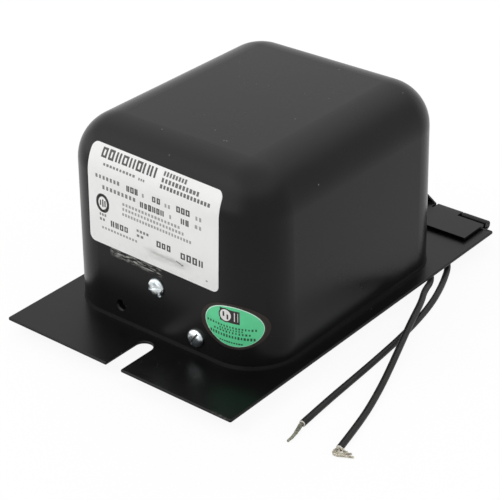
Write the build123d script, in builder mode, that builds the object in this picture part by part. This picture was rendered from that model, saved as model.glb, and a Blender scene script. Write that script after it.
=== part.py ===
from build123d import *
import os
from math import atan, cos, degrees, pi, radians, sin, tan

os.makedirs("parts", exist_ok=True)

# Base plate, a flat sheet that reaches past the case on each side, with a bolt slot open at its front edge
plate_front_margin = 29.35
plate_back_margin = 32.45
plate_side_margin = 7.0
plate_thickness = 1.5
plate_corner_radius = 1.0
slot_width = 8.6
slot_depth = 24.0
slot_offset = -0.4
window_corner_radius = 14.0
ledge_width = 8.0

# The bushings reach this far below the plate, and the transformer stands on them
standoff = 6.0

# Case, one deep-drawn can that is open at the bottom
case_width = 117.2
case_depth = 141.4
case_height = 91.6
case_wall = 1.2
case_draft = 0.8
shoulder_radius = 21.5
upright_extra_radius = 0.9
lip_reach = 0.4
lip_height = 1.8

# Screws through the case walls into brackets that stand on the plate
screw_diameter = 4.1
screw_head_diameter = 8.4
screw_head_height = 2.2
screw_length = 10.0
screw_slot_width = 1.1
screw_slot_depth = 1.0
low_screw_height = 8.4
low_screw_spread = 22.2
high_screw_height = 26.0
screw_clearance = 0.25
slot_turn = 20.0
rim_width = 0.8
bracket_thickness = 1.5
bracket_margin = 8.0
bracket_gap = 0.1
nut_flats = 7.9
nut_thickness = 3.0

# Hinge along the back edge: rolled sheet knuckles on one long pin
hinge_length = 120.0
leaf_thickness = 1.2
pin_diameter = 2.1
pin_clearance = 0.05
hinge_setback = 1.55
leaf_reach = 21.5
fixed_leaf_reach = 24.0
knuckle_length = 14.4
knuckle_gap = 1.0
notch_depth = 1.7
roll_sweep = 285
tab_height = 6.4
tab_slope = 56
leaf_hole_diameter = 5.5
leaf_hole_spacing = 50.8
leaf_hole_setback = 12.5

# Potting compound fills the case down to a recess above the plate
recess_depth = 14.0

# Core of stacked laminations: three legs lying along Y, closed by a separate yoke
core_side_clearance = 11.4
core_end_clearance = 11.5
centre_leg_width = 24.0
side_leg_width = 12.0
yoke_width = 12.0
core_bolt_diameter = 4.0
core_bolt_clearance = 0.2
core_bolt_head = 7.0
core_bolt_head_height = 2.8

# Coils on the centre leg, a primary between two secondaries, with shunts in the gaps
form_thickness = 1.0
winding_build = 18.5
winding_clearance = 2.5
winding_corner_radius = 10.0
primary_length = 26.0
shunt_length = 6.0
shunt_height = 22.0
shunt_gap = 0.4
coil_gap = 1.0
coil_floor_gap = 3.0
coil_top_gap = 2.3

# Two ribbed bushings with a brass stud through each
bushing_clearance = 2.8
bushing_radius = 8.6
bushing_rib_radius = 10.6
bushing_rib_height = 2.6
bushing_rib_pitch = 5.6
bushing_rib_count = 3
bushing_collar_radius = 12.5
bushing_collar_height = 5.0
bushing_cup_radius = 6.0
bushing_cup_depth = 4.0
stud_diameter = 4.0
stud_head_diameter = 8.4
stud_head_height = 2.6
stud_length = 34.0
stud_nut_flats = 7.0
stud_nut_thickness = 3.0
secondary_lead_diameter = 2.0

# Ground strap from the core to the front bracket
strap_width = 8.0
strap_thickness = 0.8
strap_offset = 11.0
strap_overlap = 8.0

# Primary leads: stranded wire in a plain sheath, through a sleeve set in the compound
lead_diameter = 3.1
lead_spacing = 5.0
sleeve_offset = 28.5
sleeve_setback = 30.0
sleeve_length = 5.0
sleeve_wall = 2.2
strand_diameter = 0.4
strand_count = 7
strand_pitch = 0.24
strand_rise = 0.25
strand_straight = 1.6

# Stickers: thin skins that follow the drawn case
skin_thickness = 0.2
label_width = 74.5
label_height = 46.9
label_corner_radius = 3.0
label_offset = -1.5
label_centre_height = 59.8
label_tilt = -1.2
oval_width = 31.3
oval_height = 22.1
oval_centre_height = 21.0
oval_azimuth = 18.0
oval_tilt = 2.6

# Places worked out from the sizes above, Z up from the surface that the bushings stand on
plate_width = case_width + 2 * plate_side_margin
plate_length = plate_front_margin + case_depth + plate_back_margin
barrel_radius = pin_diameter / 2 + pin_clearance + leaf_thickness
hinge_overhang = hinge_setback + 2 * barrel_radius
plate_front = -(plate_length + hinge_overhang) / 2
plate_back = plate_front + plate_length
plate_centre_y = (plate_front + plate_back) / 2
plate_top = standoff + plate_thickness
case_front = plate_front + plate_front_margin
case_y = case_front + case_depth / 2
draft_slope = tan(radians(case_draft))
upright_radius = shoulder_radius + upright_extra_radius + case_height * draft_slope
window_width = case_width - 2 * (case_wall + ledge_width)
window_length = case_depth - 2 * (case_wall + ledge_width)
hinge_y = plate_back + hinge_setback + barrel_radius
hinge_z = standoff - leaf_thickness + barrel_radius
recess_level = plate_top + recess_depth
bushing_x = window_width / 2 - bushing_rib_radius - bushing_clearance
bushing_top = recess_level + bushing_collar_height / 2

# The core fills the case, and the coils fill the core's windows
core_width = case_width - 2 * (case_wall + core_side_clearance)
core_length = case_depth - 2 * (case_wall + core_end_clearance)
core_window_width = (core_width - centre_leg_width - 2 * side_leg_width) / 2
core_window_length = core_length - 2 * yoke_width
winding_depth = core_window_width - form_thickness - winding_clearance
coil_height = case_height - case_wall - recess_depth - coil_floor_gap - coil_top_gap
core_stack = coil_height - 2 * (form_thickness + winding_build)
core_z = recess_level + coil_floor_gap + coil_height / 2
core_bottom = core_z - core_stack / 2
core_top = core_z + core_stack / 2


def drawn_block(grow):
    """The case's outer form, grown outward by the given amount."""
    with BuildPart() as block:
        with BuildSketch(Plane.XY.offset(plate_top)):
            with Locations((0, case_y)):
                RectangleRounded(case_width + 2 * grow, case_depth + 2 * grow, upright_radius + grow)
        extrude(amount=case_height + grow, taper=case_draft)
        fillet(block.faces().sort_by(Axis.Z)[-1].edges(), shoulder_radius + grow)
    return block.part


def finish(name, part):
    """Label a finished piece and write it out."""
    part.label = name
    export_step(part, f"parts/{name}.step")


# Case shell with its flared lip and the screw holes in the front and back walls
low_row = [(-low_screw_spread, low_screw_height), (low_screw_spread, low_screw_height)]
screw_places = low_row + [(0, high_screw_height)]
wall_hole_radius = screw_diameter / 2 + screw_clearance
cavity = drawn_block(-case_wall)
lip_slope = case_draft + degrees(atan(lip_reach / lip_height))

with BuildPart() as case_shell:
    add(drawn_block(0))
    with BuildSketch(Plane.XY.offset(plate_top)):
        with Locations((0, case_y)):
            RectangleRounded(case_width + 2 * lip_reach, case_depth + 2 * lip_reach, upright_radius + lip_reach)
    extrude(amount=2 * lip_height, taper=lip_slope)
    add(cavity, mode=Mode.SUBTRACT)
    for x, height in screw_places:
        for side in (-1, 1):
            wall_y = case_y + side * (case_depth / 2 - height * draft_slope)
            mouth = Plane(origin=(x, wall_y, plate_top + height), z_dir=(0, -side, 0))
            with Locations(mouth.offset(-rim_width)):
                Cylinder(wall_hole_radius, case_wall * 6, align=(Align.CENTER, Align.CENTER, Align.MIN), mode=Mode.SUBTRACT)
            with Locations(mouth.offset(-rim_width / 2)):
                Cone(wall_hole_radius + rim_width, wall_hole_radius, rim_width * 1.5,
                     align=(Align.CENTER, Align.CENTER, Align.MIN), mode=Mode.SUBTRACT)
finish("case_shell", case_shell.part)

# Base plate with the slot and the window that the bushings look through
with BuildPart() as base_plate:
    with BuildSketch(Plane.XY.offset(standoff)):
        with Locations((0, plate_centre_y)):
            RectangleRounded(plate_width, plate_length, plate_corner_radius)
        with Locations((0, case_y)):
            RectangleRounded(window_width, window_length, window_corner_radius, mode=Mode.SUBTRACT)
        with Locations((slot_offset, plate_front)):
            SlotCenterToCenter(2 * (slot_depth - slot_width / 2), slot_width, rotation=90, mode=Mode.SUBTRACT)
    extrude(amount=plate_thickness)
finish("base_plate", base_plate.part)

# Hinge leaves: a flat sheet whose tongues roll round the pin
bore_radius = pin_diameter / 2 + pin_clearance
notch_edge = barrel_radius + notch_depth
outer_tongue_x = hinge_length / 2 - knuckle_length / 2
inner_tongue_x = outer_tongue_x - knuckle_length - knuckle_gap


def rolled_tongue(centre_x, up):
    """One tongue and its roll, from the leaf's notch edge round the pin."""
    start = -90 * up
    end = start + roll_sweep * up
    reach = notch_edge
    outer_start = (hinge_y, hinge_z - up * barrel_radius)
    inner_start = (hinge_y, hinge_z - up * bore_radius)
    with BuildPart() as tongue:
        with BuildSketch(Plane.YZ.offset(centre_x - knuckle_length / 2)):
            with BuildLine():
                CenterArc((hinge_y, hinge_z), barrel_radius, start, roll_sweep * up)
                CenterArc((hinge_y, hinge_z), bore_radius, start, roll_sweep * up)
                Line((hinge_y + barrel_radius * cos(radians(end)), hinge_z + barrel_radius * sin(radians(end))),
                     (hinge_y + bore_radius * cos(radians(end)), hinge_z + bore_radius * sin(radians(end))))
                Line(inner_start, (hinge_y - reach, inner_start[1]))
                Line((hinge_y - reach, inner_start[1]), (hinge_y - reach, outer_start[1]))
                Line((hinge_y - reach, outer_start[1]), outer_start)
            make_face()
        extrude(amount=knuckle_length)
    return tongue.part


with BuildPart() as hinge_fixed_leaf:
    with BuildSketch(Plane.XY.offset(hinge_z - barrel_radius)):
        with Locations((0, hinge_y - (fixed_leaf_reach + notch_edge) / 2)):
            Rectangle(hinge_length, fixed_leaf_reach - notch_edge)
    extrude(amount=leaf_thickness)
    for side in (-1, 1):
        add(rolled_tongue(side * outer_tongue_x, 1))
finish("hinge_fixed_leaf", hinge_fixed_leaf.part)

# The free leaf lies folded over the plate; between its knuckles the sheet turns up as a tab
tab_width = 2 * (inner_tongue_x - knuckle_length / 2 - knuckle_gap)
leaf_top = hinge_z + barrel_radius
tab_back = hinge_y + leaf_thickness / 2

with BuildPart() as hinge_free_leaf:
    with BuildSketch(Plane.XY.offset(leaf_top - leaf_thickness)):
        with Locations((0, hinge_y - (leaf_reach + notch_edge) / 2)):
            Rectangle(hinge_length, leaf_reach - notch_edge)
        with Locations((0, tab_back - (notch_edge + leaf_thickness / 2) / 2)):
            Rectangle(tab_width, notch_edge + leaf_thickness / 2)
        with Locations((0, hinge_y - leaf_hole_setback)):
            with GridLocations(leaf_hole_spacing, 0, 2, 1):
                Circle(leaf_hole_diameter / 2, mode=Mode.SUBTRACT)
    extrude(amount=leaf_thickness)
    for side in (-1, 1):
        add(rolled_tongue(side * inner_tongue_x, -1))
    with BuildSketch(Plane.XZ.offset(-tab_back)):
        with Locations((0, leaf_top)):
            Trapezoid(tab_width, tab_height, 90 - tab_slope, align=(Align.CENTER, Align.MIN))
    extrude(amount=leaf_thickness)
finish("hinge_free_leaf", hinge_free_leaf.part)

with BuildPart() as hinge_pin:
    with BuildSketch(Plane.YZ.offset(-hinge_length / 2)):
        with Locations((hinge_y, hinge_z)):
            Circle(pin_diameter / 2)
    extrude(amount=hinge_length)
    chamfer(hinge_pin.edges().filter_by(GeomType.CIRCLE), pin_diameter / 10)
finish("hinge_pin", hinge_pin.part)

# Brackets inside the front and back walls, with a foot on the plate's ledge
bracket_height = high_screw_height + bracket_margin
bracket_width = 2 * (low_screw_spread + bracket_margin)
bracket_inset = case_wall + bracket_gap + bracket_height * draft_slope
bracket_holes = [(x, plate_top + height) for x, height in screw_places]


def bracket(side):
    """An angle bracket against the wall at the given side."""
    outer_y = case_y + side * (case_depth / 2 - bracket_inset)
    foot_length = ledge_width + case_wall - bracket_inset
    with BuildPart() as piece:
        with BuildSketch(Plane.XZ.offset(-outer_y)):
            with Locations((0, plate_top)):
                Rectangle(bracket_width, bracket_height, align=(Align.CENTER, Align.MIN))
            with Locations(*bracket_holes):
                Circle(wall_hole_radius, mode=Mode.SUBTRACT)
        extrude(amount=side * bracket_thickness)
        with BuildSketch(Plane.XY.offset(plate_top)):
            with Locations((0, outer_y - side * foot_length / 2)):
                Rectangle(bracket_width, foot_length)
        extrude(amount=bracket_thickness)
    return piece.part


finish("case_bracket_front", bracket(-1))
finish("case_bracket_back", bracket(1))

# Domed screws: all places but the lower left one in front, where the hole is empty
dome_radius = (screw_head_diameter ** 2 / 4 + screw_head_height ** 2) / (2 * screw_head_height)

with BuildPart() as screw_blank:
    with Locations((0, 0, screw_head_height - dome_radius)):
        Sphere(dome_radius)
    split(bisect_by=Plane.XY)
    Cylinder(screw_diameter / 2, screw_length, align=(Align.CENTER, Align.CENTER, Align.MAX))
    with Locations((0, 0, screw_head_height)):
        Box(screw_slot_width, 2 * screw_head_diameter, 2 * screw_slot_depth, mode=Mode.SUBTRACT)

with BuildPart() as nut_blank:
    with BuildSketch():
        RegularPolygon(nut_flats / 2, 6, major_radius=False)
        Circle(screw_diameter / 2, mode=Mode.SUBTRACT)
    extrude(amount=nut_thickness)

nut_y = case_depth / 2 - bracket_inset - bracket_thickness

with BuildPart() as case_screws:
    for side in (-1, 1):
        for x, height in screw_places:
            seat = case_depth / 2 - (height - screw_head_diameter / 2) * draft_slope
            head = Plane(origin=(x, case_y + side * seat, plate_top + height), z_dir=(0, side, 0))
            if (side, x) != (-1, -low_screw_spread):
                with Locations(head):
                    add(screw_blank.part, rotation=(0, 0, slot_turn + x + 9 * side))
finish("case_screws", case_screws.part)

with BuildPart() as case_nuts:
    for side in (-1, 1):
        for x, height in screw_places:
            with Locations(Plane(origin=(x, case_y + side * nut_y, plate_top + height), z_dir=(0, -side, 0))):
                add(nut_blank.part)
finish("case_nuts", case_nuts.part)

# Core: the E stack opens towards the back, and the straight stack closes it
bolt_x = core_width / 2 - side_leg_width / 2
bolt_y = core_length / 2 - yoke_width / 2
bolt_hole_radius = core_bolt_diameter / 2 + core_bolt_clearance
window_x = (centre_leg_width + core_window_width) / 2
joint_y = case_y + core_window_length / 2

with BuildPart() as core_e_stack:
    with BuildSketch(Plane.XY.offset(core_bottom)):
        with Locations((0, joint_y)):
            Rectangle(core_width, core_length - yoke_width, align=(Align.CENTER, Align.MAX))
        with Locations((0, case_y)):
            with GridLocations(2 * window_x, 0, 2, 1):
                Rectangle(core_window_width, core_window_length, mode=Mode.SUBTRACT)
        with Locations((0, case_y - bolt_y)):
            with GridLocations(2 * bolt_x, 0, 2, 1):
                Circle(bolt_hole_radius, mode=Mode.SUBTRACT)
    extrude(amount=core_stack)
finish("core_e_stack", core_e_stack.part)

with BuildPart() as core_i_stack:
    with BuildSketch(Plane.XY.offset(core_bottom)):
        with Locations((0, joint_y)):
            Rectangle(core_width, yoke_width, align=(Align.CENTER, Align.MIN))
        with Locations((0, case_y + bolt_y)):
            with GridLocations(2 * bolt_x, 0, 2, 1):
                Circle(bolt_hole_radius, mode=Mode.SUBTRACT)
    extrude(amount=core_stack)
finish("core_i_stack", core_i_stack.part)

# Core bolts with their heads below, and nuts on top
with BuildPart() as core_bolts:
    with BuildSketch(Plane.XY.offset(core_bottom)):
        with Locations((0, case_y)):
            with GridLocations(2 * bolt_x, 2 * bolt_y, 2, 2):
                RegularPolygon(core_bolt_head / 2, 6, major_radius=False)
    extrude(amount=-core_bolt_head_height)
    with BuildSketch(Plane.XY.offset(core_bottom)):
        with Locations((0, case_y)):
            with GridLocations(2 * bolt_x, 2 * bolt_y, 2, 2):
                Circle(core_bolt_diameter / 2)
    extrude(amount=core_stack + core_bolt_head_height + 1)
finish("core_bolts", core_bolts.part)

with BuildPart() as core_nuts:
    with BuildSketch(Plane.XY.offset(core_top)):
        with Locations((0, case_y)):
            with GridLocations(2 * bolt_x, 2 * bolt_y, 2, 2):
                RegularPolygon(core_bolt_head / 2, 6, major_radius=False)
                Circle(core_bolt_diameter / 2, mode=Mode.SUBTRACT)
    extrude(amount=core_bolt_head_height)
finish("core_nuts", core_nuts.part)

# Coils and their paper forms round the centre leg
form_width = centre_leg_width + 2 * form_thickness
form_height = core_stack + 2 * form_thickness
coil_width = form_width + 2 * winding_depth
secondary_length = (core_window_length - primary_length) / 2 - shunt_length - 3 * coil_gap
shunt_y = primary_length / 2 + coil_gap + shunt_length / 2
secondary_y = shunt_y + shunt_length / 2 + coil_gap + secondary_length / 2


def ring(centre_y, length, outer_width, outer_height, inner_width, inner_height, corner):
    """A rectangular ring round the centre leg."""
    with BuildPart() as piece:
        with BuildSketch(Plane.XZ.offset(-(case_y + centre_y) - length / 2)):
            with Locations((0, core_z)):
                if corner:
                    RectangleRounded(outer_width, outer_height, corner)
                else:
                    Rectangle(outer_width, outer_height)
                Rectangle(inner_width, inner_height, mode=Mode.SUBTRACT)
        extrude(amount=length)
    return piece.part


def winding(centre_y, length):
    """One coil, wound on its form."""
    return ring(centre_y, length, coil_width, coil_height, form_width, form_height, winding_corner_radius)


def form(centre_y, length):
    """The paper form under one coil."""
    return ring(centre_y, length, form_width, form_height, centre_leg_width, core_stack, 0)


coil_places = {
    "primary": (0, primary_length),
    "secondary_front": (-secondary_y, secondary_length),
    "secondary_back": (secondary_y, secondary_length),
}
coil_parts = []
for coil_name, (centre_y, length) in coil_places.items():
    coil = winding(centre_y, length)
    coil_form = form(centre_y, length)
    coil_parts += [coil, coil_form]
    finish(f"{coil_name}_coil", coil)
    finish(f"{coil_name}_form", coil_form)

# Magnetic shunts: packs of laminations in the windows, either side of the primary
shunt_parts = []
for side_name, side_x in (("left", -1), ("right", 1)):
    for end_name, side_y in (("front", -1), ("back", 1)):
        with BuildPart() as shunt:
            with Locations((side_x * window_x, case_y + side_y * shunt_y, core_z)):
                Box(core_window_width - 2 * shunt_gap, shunt_length, shunt_height)
        shunt_parts.append(shunt.part)
        finish(f"magnetic_shunt_{end_name}_{side_name}", shunt.part)

# Ground strap, folded from under the front yoke down the bracket
bracket_inner_y = case_y - nut_y
yoke_front = case_y - core_length / 2

with BuildPart() as ground_strap:
    with BuildSketch(Plane.YZ.offset(strap_offset - strap_width / 2)):
        with BuildLine():
            Polyline(
                (yoke_front + strap_overlap, core_bottom),
                (bracket_inner_y, core_bottom),
                (bracket_inner_y, plate_top + bracket_height - strap_overlap),
                (bracket_inner_y + strap_thickness, plate_top + bracket_height - strap_overlap),
                (bracket_inner_y + strap_thickness, core_bottom - strap_thickness),
                (yoke_front + strap_overlap, core_bottom - strap_thickness),
                close=True,
            )
        make_face()
    extrude(amount=strap_width)
finish("ground_strap", ground_strap.part)

# Bushings: ribbed ceramic posts, set in the compound by a collar
def bushing(side):
    """The ceramic bushing at the given side."""
    with BuildPart() as piece:
        with Locations((side * bushing_x, case_y, 0)):
            Cylinder(bushing_radius, bushing_top, align=(Align.CENTER, Align.CENTER, Align.MIN))
        for number in range(bushing_rib_count):
            with Locations((side * bushing_x, case_y, number * bushing_rib_pitch)):
                Cylinder(bushing_rib_radius, bushing_rib_height, align=(Align.CENTER, Align.CENTER, Align.MIN))
        with Locations((side * bushing_x, case_y, bushing_top)):
            Cylinder(bushing_collar_radius, bushing_collar_height, align=(Align.CENTER, Align.CENTER, Align.MAX))
        rims = piece.edges().filter_by(GeomType.CIRCLE).filter_by(
            lambda edge: edge.radius > (bushing_radius + bushing_rib_radius) / 2)
        chamfer(rims, bushing_rib_height / 4)
        with Locations((side * bushing_x, case_y, 0)):
            Cylinder(stud_diameter / 2, bushing_top, align=(Align.CENTER, Align.CENTER, Align.MIN), mode=Mode.SUBTRACT)
            Cylinder(bushing_cup_radius, bushing_cup_depth, align=(Align.CENTER, Align.CENTER, Align.MIN),
                     mode=Mode.SUBTRACT)
    return piece.part


def stud(side):
    """The brass stud through a bushing, with a round head in the cup."""
    with BuildPart() as piece:
        with Locations((side * bushing_x, case_y, bushing_cup_depth)):
            Cylinder(stud_head_diameter / 2, stud_head_height, align=(Align.CENTER, Align.CENTER, Align.MAX))
        fillet(piece.edges().filter_by(GeomType.CIRCLE).sort_by(Axis.Z)[0], stud_head_height / 2)
        with Locations((side * bushing_x, case_y, bushing_cup_depth)):
            Cylinder(stud_diameter / 2, stud_length, align=(Align.CENTER, Align.CENTER, Align.MIN))
    return piece.part


def stud_nut(side):
    """The nut that holds the stud on top of its bushing."""
    with BuildPart() as piece:
        with BuildSketch(Plane.XY.offset(bushing_top)):
            with Locations((side * bushing_x, case_y)):
                RegularPolygon(stud_nut_flats / 2, 6, major_radius=False)
                Circle(stud_diameter / 2, mode=Mode.SUBTRACT)
        extrude(amount=stud_nut_thickness)
    return piece.part


def secondary_lead(side):
    """The wire from a stud's top to the side of its secondary coil."""
    stud_top = bushing_cup_depth + stud_length
    run = secondary_lead_diameter * 2
    route = [
        (side * bushing_x, case_y, stud_top),
        (side * bushing_x, case_y, stud_top + run),
        (side * bushing_x, case_y + side * secondary_y, stud_top + run),
        (side * coil_width / 2, case_y + side * secondary_y, stud_top + run),
    ]
    with BuildPart() as piece:
        with BuildLine() as path:
            FilletPolyline(*route, radius=secondary_lead_diameter)
        with BuildSketch(Plane(origin=route[0], z_dir=(0, 0, 1))):
            Circle(secondary_lead_diameter / 2)
        sweep(path=path.wires()[0])
    return piece.part


post_parts = []
for side_name, side in (("left", -1), ("right", 1)):
    pieces = {
        f"bushing_{side_name}": bushing(side),
        f"terminal_stud_{side_name}": stud(side),
        f"terminal_nut_{side_name}": stud_nut(side),
        f"secondary_lead_{side_name}": secondary_lead(side),
    }
    for piece_name, piece_part in pieces.items():
        post_parts.append(piece_part)
        finish(piece_name, piece_part)

# Routes of the two leads: down from the sleeve, round under the plate and out to the front
lead_radius = lead_diameter / 2
sleeve_y = case_y + sleeve_setback
sleeve_bottom = recess_level - sleeve_length / 2
lead_a_route = [
    (sleeve_offset + lead_spacing / 2, sleeve_y, sleeve_bottom),
    (sleeve_offset + lead_spacing / 2, sleeve_y, sleeve_bottom - 9.8),
    (31.2, 32.4, 2.7),
    (32.4, 47.0, 1.6),
    (40.5, 59.0, 1.55),
    (53.4, 59.2, 1.55),
    (63.4, 48.2, 2.2),
    (68.3, 33.7, 4.6),
    (74.8, 21.8, 7.1),
    (80.7, 4.6, 7.1),
    (87.4, -15.1, 4.6),
    (94.1, -35.3, 1.8),
    (100.4, -55.0, 1.55),
    (104.2, -70.0, 1.55),
    (107.4, -85.3, 1.55),
]
lead_b_route = [
    (sleeve_offset - lead_spacing / 2, sleeve_y, sleeve_bottom),
    (sleeve_offset - lead_spacing / 2, sleeve_y, sleeve_bottom - 9.8),
    (26.1, 33.0, 2.5),
    (26.4, 51.0, 1.55),
    (32.4, 67.6, 1.55),
    (46.8, 75.4, 1.55),
    (59.8, 69.1, 1.55),
    (69.2, 48.1, 1.55),
    (75.5, 27.2, 1.55),
    (79.5, 1.2, 1.55),
    (81.3, -21.6, 1.55),
    (82.5, -42.0, 1.55),
    (83.5, -62.0, 1.55),
    (85.0, -81.0, 1.55),
]

with BuildPart() as lead_sleeve:
    with BuildSketch(Plane.XY.offset(sleeve_bottom)):
        with Locations((sleeve_offset, sleeve_y)):
            SlotCenterToCenter(lead_spacing, lead_diameter + 2 * sleeve_wall)
    extrude(amount=sleeve_length)
    fillet(lead_sleeve.edges().group_by(Axis.Z)[0], sleeve_wall / 3)
finish("lead_sleeve", lead_sleeve.part)

# Potting compound: what is left of the case's inside above the recess
embedded = coil_parts + shunt_parts + post_parts
embedded += [core_e_stack.part, core_i_stack.part, core_bolts.part, core_nuts.part]
embedded += [ground_strap.part, lead_sleeve.part]

with BuildPart() as potting_compound:
    add(cavity)
    with BuildSketch(Plane.XY.offset(plate_top)):
        with Locations((0, case_y)):
            Rectangle(case_width, case_depth)
    extrude(amount=recess_depth, mode=Mode.SUBTRACT)
    for side in (-1, 1):
        with Locations((0, case_y + side * nut_y, plate_top)):
            Box(bracket_width, 2 * (bracket_inset + bracket_thickness), 2 * bracket_height, mode=Mode.SUBTRACT,
                align=(Align.CENTER, Align.MIN if side > 0 else Align.MAX, Align.CENTER))
    for piece_part in embedded:
        add(piece_part, mode=Mode.SUBTRACT)
    with BuildSketch(Plane.XY.offset(core_bottom)):
        with Locations((0, case_y)):
            with GridLocations(2 * bolt_x, 2 * bolt_y, 2, 2):
                Circle(bolt_hole_radius)
    extrude(amount=core_stack, mode=Mode.SUBTRACT)
    for x, height in screw_places:
        for side in (-1, 1):
            inward = Plane(origin=(x, case_y + side * nut_y, plate_top + height), z_dir=(0, -side, 0))
            with Locations(inward):
                Cylinder(nut_flats, screw_length, align=(Align.CENTER, Align.CENTER, Align.MIN), mode=Mode.SUBTRACT)
finish("potting_compound", potting_compound.part)


def turn_radii(points):
    """Arc radius at each corner: 0.45 of the shorter run over the tangent of half the turn."""
    radii = []
    for before, here, after in zip(points, points[1:], points[2:]):
        run_in = Vector(*here) - Vector(*before)
        run_out = Vector(*after) - Vector(*here)
        turn = radians(run_in.get_angle(run_out))
        radii.append(0.45 * min(run_in.length, run_out.length) / tan(turn / 2))
    return radii


def lead(points):
    """A tube along straight runs joined by tangent arcs."""
    start = Vector(*points[0])
    heading = Vector(*points[1]) - start
    with BuildPart() as piece:
        with BuildLine() as path:
            FilletPolyline(*points, radius=turn_radii(points))
        with BuildSketch(Plane(origin=start, z_dir=heading)):
            Circle(lead_radius)
        sweep(path=path.wires()[0])
    length = path.wires()[0].length
    print("lead length", round(length, 1), "radii", [round(radius, 1) for radius in turn_radii(points)])
    print("  volume over section times length", round(piece.part.volume / (pi * lead_radius ** 2 * length), 4))
    return piece.part


finish("lead_a", lead(lead_a_route))
finish("lead_b", lead(lead_b_route))


def strands(points, shortest, longest, fan_from, fan_to):
    """Bare strands that leave a lead's end face side by side and then fan out to their own angles."""
    end = Vector(*points[-1])
    ahead = (end - Vector(*points[-2])).normalized()
    across = Vector(0, 0, 1).cross(ahead)
    with BuildPart() as bundle:
        for number in range(strand_count):
            share = number / (strand_count - 1)
            rise = strand_rise if number % 2 else -strand_rise
            root = end + across * ((share - 0.5) * (strand_count - 1) * strand_pitch) + Vector(0, 0, rise)
            bend = root + ahead * strand_straight
            angle = radians(fan_from + (fan_to - fan_from) * share)
            reach = shortest + (longest - shortest) * share - strand_diameter * (number % 3)
            tip = bend + ahead * (reach * cos(angle)) + across * (reach * sin(angle))
            with BuildLine() as path:
                FilletPolyline(root, bend, tip, radius=2 * strand_diameter)
            with BuildSketch(Plane(origin=root, z_dir=ahead)):
                Circle(strand_diameter / 2)
            sweep(path=path.wires()[0])
    return bundle.part


finish("lead_a_strands", strands(lead_a_route, 3.6, 7.6, -14, 68))
finish("lead_b_strands", strands(lead_b_route, 11.0, 12.6, 9, 15))

# The rating label on the front wall wraps over the shoulder and the left upright
case_form = drawn_block(0)
skin_form = drawn_block(skin_thickness)

with BuildPart() as rating_label:
    add(skin_form)
    add(case_form, mode=Mode.SUBTRACT)
    with BuildSketch(Plane.XZ.offset(-(case_front + shoulder_radius))):
        with Locations((label_offset, plate_top + label_centre_height)):
            RectangleRounded(label_width, label_height, label_corner_radius, rotation=label_tilt)
    extrude(amount=2 * shoulder_radius, mode=Mode.INTERSECT)
finish("rating_label", rating_label.part)

# The oval sticker sits on the front right upright
upright_centre_x = case_width / 2 - upright_radius
upright_centre_y = case_front + upright_radius
facing = (sin(radians(oval_azimuth)), -cos(radians(oval_azimuth)), 0)
along = (cos(radians(oval_azimuth)), sin(radians(oval_azimuth)), 0)

with BuildPart() as oval_sticker:
    add(skin_form)
    add(case_form, mode=Mode.SUBTRACT)
    oval_plane = Plane(
        origin=(upright_centre_x, upright_centre_y, plate_top + oval_centre_height), x_dir=along, z_dir=facing)
    with BuildSketch(oval_plane):
        Ellipse(oval_width / 2, oval_height / 2, rotation=oval_tilt)
    extrude(amount=2 * upright_radius, mode=Mode.INTERSECT)
finish("oval_sticker", oval_sticker.part)
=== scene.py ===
from math import ceil, cos, hypot, pi, radians, sin, sqrt, tan
from random import Random

import bmesh
import bpy
from mathutils import Matrix, Vector


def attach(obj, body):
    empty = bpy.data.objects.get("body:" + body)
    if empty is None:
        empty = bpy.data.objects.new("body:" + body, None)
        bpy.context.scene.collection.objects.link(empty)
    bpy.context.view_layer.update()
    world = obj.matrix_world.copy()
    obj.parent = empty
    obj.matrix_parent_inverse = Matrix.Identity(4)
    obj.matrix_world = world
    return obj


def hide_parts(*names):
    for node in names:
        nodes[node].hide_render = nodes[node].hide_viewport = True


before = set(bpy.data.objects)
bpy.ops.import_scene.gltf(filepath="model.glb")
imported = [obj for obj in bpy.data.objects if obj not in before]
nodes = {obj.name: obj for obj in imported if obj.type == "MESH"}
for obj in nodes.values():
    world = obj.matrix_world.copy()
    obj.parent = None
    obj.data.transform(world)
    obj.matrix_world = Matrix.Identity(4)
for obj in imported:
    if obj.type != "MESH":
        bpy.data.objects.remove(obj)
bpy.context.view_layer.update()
mm = 0.001
bpy.context.scene.view_settings.view_transform = "Standard"

# Camera: measured from the outlines of the plate and the case
view = {"azimuth": 39.412, "elevation": 29.599, "roll": -0.878, "distance": 731.98, "lens": 121.07,
        "target": (28.09, -44.70, 48.14)}


def makeCamera():
    az, el, roll = (radians(view[k]) for k in ("azimuth", "elevation", "roll"))
    back = Vector((sin(az) * cos(el), -cos(az) * cos(el), sin(el)))
    right = Vector((0, 0, 1)).cross(back).normalized()
    up = back.cross(right)
    turned = right * cos(roll) + up * sin(roll)
    upward = up * cos(roll) - right * sin(roll)
    data = bpy.data.cameras.new("photoCamera")
    data.lens = view["lens"]
    data.sensor_width = 36
    data.clip_start = 0.01
    camera = bpy.data.objects.new("photoCamera", data)
    turn = Matrix((turned, upward, back)).transposed().to_4x4()
    camera.matrix_world = Matrix.Translation((Vector(view["target"]) + back * view["distance"]) * mm) @ turn
    bpy.context.scene.collection.objects.link(camera)
    bpy.context.scene.camera = camera


makeCamera()
print("camera done")


# Small helpers for node trees
def link(tree, source, target):
    tree.links.new(source, target)


def feed(tree, socket, value):
    if hasattr(value, "is_output"):
        link(tree, value, socket)
    else:
        socket.default_value = value


def addNode(tree, kind, values=None, **settings):
    node = tree.nodes.new(kind)
    for name, setting in settings.items():
        setattr(node, name, setting)
    for socket, value in (values or {}).items():
        feed(tree, node.inputs[socket], value)
    return node


def sums(tree, operation, first, *others):
    for other in others or (0.0,):
        first = addNode(tree, "ShaderNodeMath", {0: first, 1: other}, operation=operation).outputs[0]
    return first


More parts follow.
